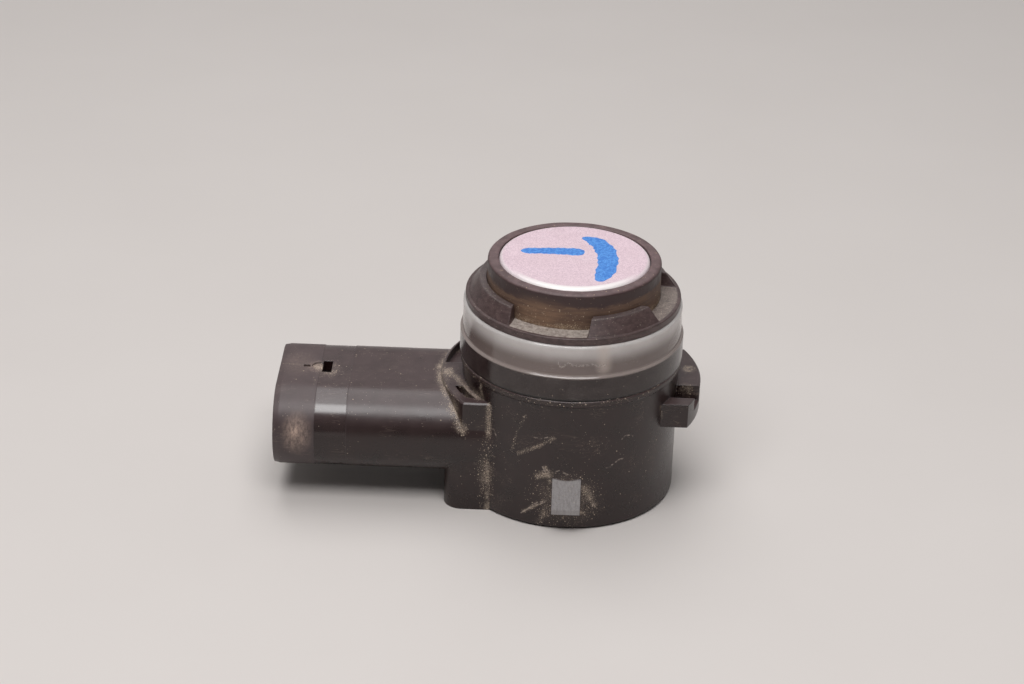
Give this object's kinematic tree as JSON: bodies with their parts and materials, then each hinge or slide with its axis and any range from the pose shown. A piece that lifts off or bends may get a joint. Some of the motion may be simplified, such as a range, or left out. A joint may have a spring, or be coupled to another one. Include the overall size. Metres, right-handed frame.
{
  "type": "ultrasonic parking sensor",
  "caption": "Round ultrasonic parking sensor with a painted membrane in a soft neck, a castellated crown, a clear ring and a side connector arm with lugs.",
  "frame": {"origin": "middle of the flat rear face, on the axis of the round housing", "axes": "+Z along the housing's axis towards the membrane, -X along the connector arm towards its mouth"},
  "size_m": [0.0443, 0.0252, 0.0259],
  "materials": {
    "housing_plastic": "fine satin moulding texture, dusty in the corners",
    "clear_plastic": "clear polished plastic with light scratches",
    "crown_plastic": "satin moulding, dusty in the gaps",
    "silicone": "soft matt silicone with dust",
    "membrane_paint": "fine pale metallic paint with a hand paint-pen mark",
    "piezo_ceramic": "fired ceramic",
    "filler_foam": "soft silicone foam",
    "wire_copper": "enamelled copper",
    "board_laminate": "solder mask",
    "chip_resin": "moulded resin",
    "ferrite": "sintered ferrite",
    "bobbin_plastic": "plain moulding",
    "can_metal": "drawn metal can",
    "capacitor_ceramic": "fired ceramic",
    "terminal_tin": "tin plate"
  },
  "bodies": {
    "root": {"housing": "housing_plastic", "clear_ring": "clear_plastic", "crown_ring": "crown_plastic", "decoupling_ring": "silicone", "membrane_cup": "membrane_paint", "piezo_disc": "piezo_ceramic", "damping_filler": "filler_foam", "signal_wire": "wire_copper", "ground_wire": "wire_copper", "circuit_board": "board_laminate", "control_chip": "chip_resin", "transformer_core": "ferrite", "transformer_bobbin": "bobbin_plastic", "transformer_winding": "wire_copper", "buffer_capacitor": "can_metal", "chip_capacitors": "capacitor_ceramic", "chip_resistors": "chip_resin", "resonator": "can_metal", "supply_terminal": "terminal_tin", "signal_terminal": "terminal_tin", "ground_terminal": "terminal_tin"}
  },
  "joints": []
}
